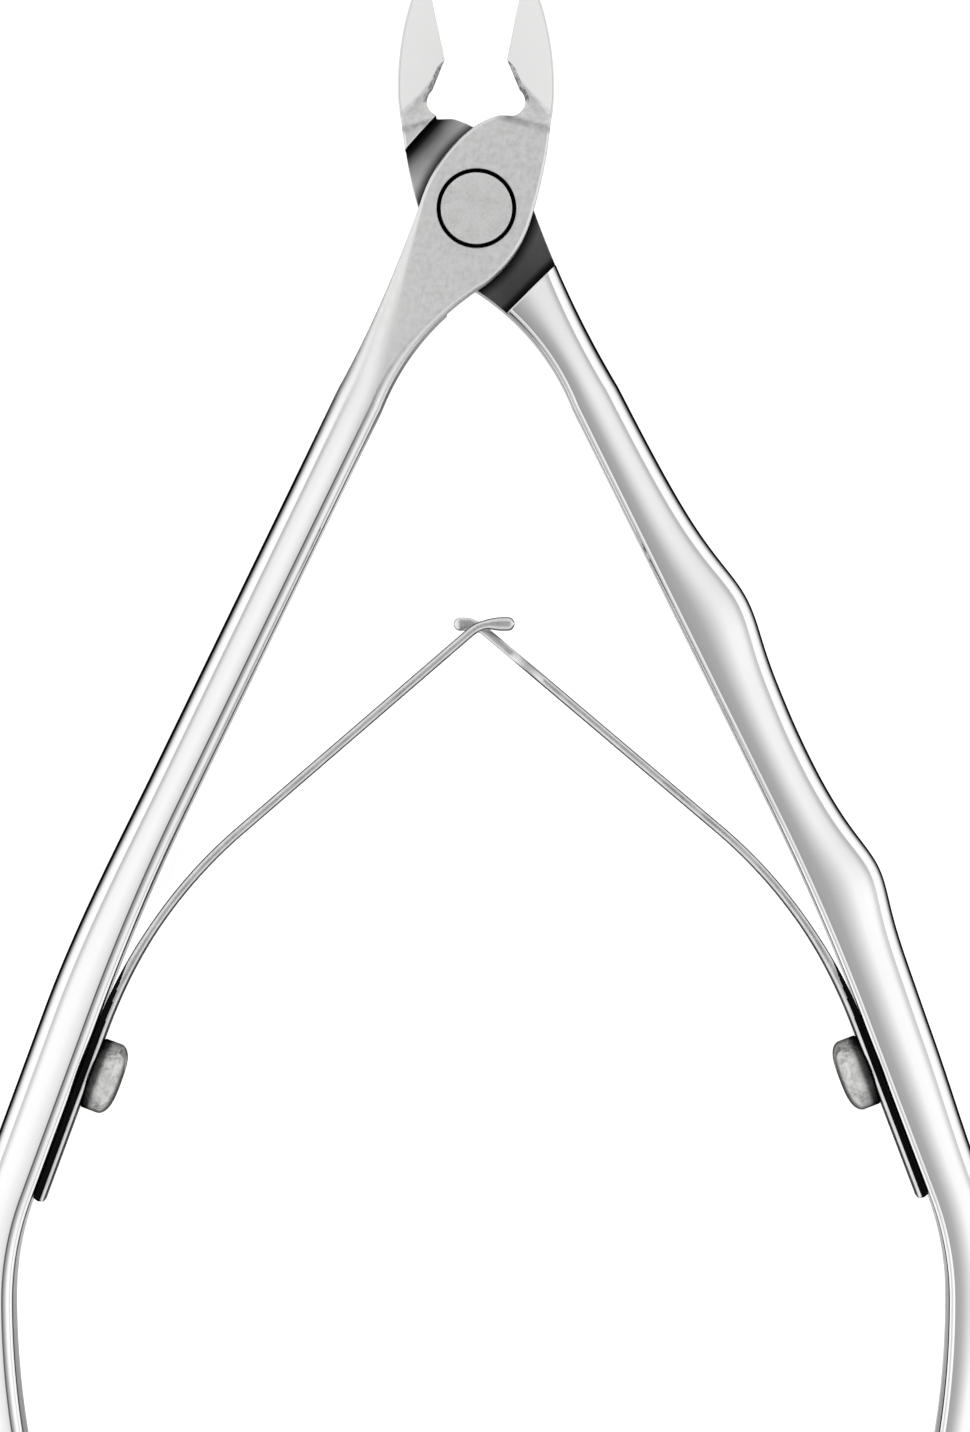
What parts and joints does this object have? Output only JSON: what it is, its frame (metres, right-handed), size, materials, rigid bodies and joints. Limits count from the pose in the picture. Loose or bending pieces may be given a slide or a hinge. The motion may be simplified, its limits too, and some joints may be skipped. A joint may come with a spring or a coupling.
{
  "type": "cuticle nipper",
  "caption": "Hand-held nipper for trimming cuticles: lap-jointed levers on a pivot rivet, with pointed cutting jaws, held open by crossed leaf springs.",
  "frame": {"origin": "on the pivot axis, in the plane of the back face that the nipper lies on", "axes": "+Z along the pivot axis to the front face, +Y towards the jaw tips, +X to the right seen from the front"},
  "size_m": [0.0728, 0.1197, 0.007],
  "materials": {
    "polished_steel": "mirror-polished handles, satin cheeks and ground jaws, in one piece of stainless steel",
    "pivot_steel": "matte and slightly mottled",
    "spring_steel": "bright rolled strip",
    "screw_steel": "rough, as turned"
  },
  "bodies": {
    "rear": {"rear_lever": "polished_steel", "pivot_rivet": "pivot_steel", "right_spring_foot": "spring_steel", "right_spring_screw": "screw_steel"},
    "front": {"front_lever": "polished_steel", "left_spring_foot": "spring_steel", "left_spring_screw": "screw_steel"},
    "left_spring": {"left_spring_arm": "spring_steel"},
    "right_spring": {"right_spring_arm": "spring_steel"}
  },
  "joints": [
    {"name": "jaw_close", "type": "hinge", "parent": "rear", "child": "front", "pos_m": [0, 0, 0.0035], "axis": [0, 0, 1], "range_deg": [0, 23], "stiffness_Nm_per_rad": 0.6},
    {"name": "left_spring_flex", "type": "hinge", "parent": "front", "child": "left_spring", "pos_m": [-0.02397, -0.05193, 0.0035], "axis": [0, 0, 1], "range_deg": [0, 12]},
    {"name": "right_spring_flex", "type": "hinge", "parent": "rear", "child": "right_spring", "pos_m": [0.02397, -0.05193, 0.0035], "axis": [0, 0, 1], "range_deg": [-12, 0]}
  ],
  "couplings": [
    {"joint": "left_spring_flex", "follows": "jaw_close", "ratio": 0.515},
    {"joint": "right_spring_flex", "follows": "jaw_close", "ratio": -0.515}
  ]
}
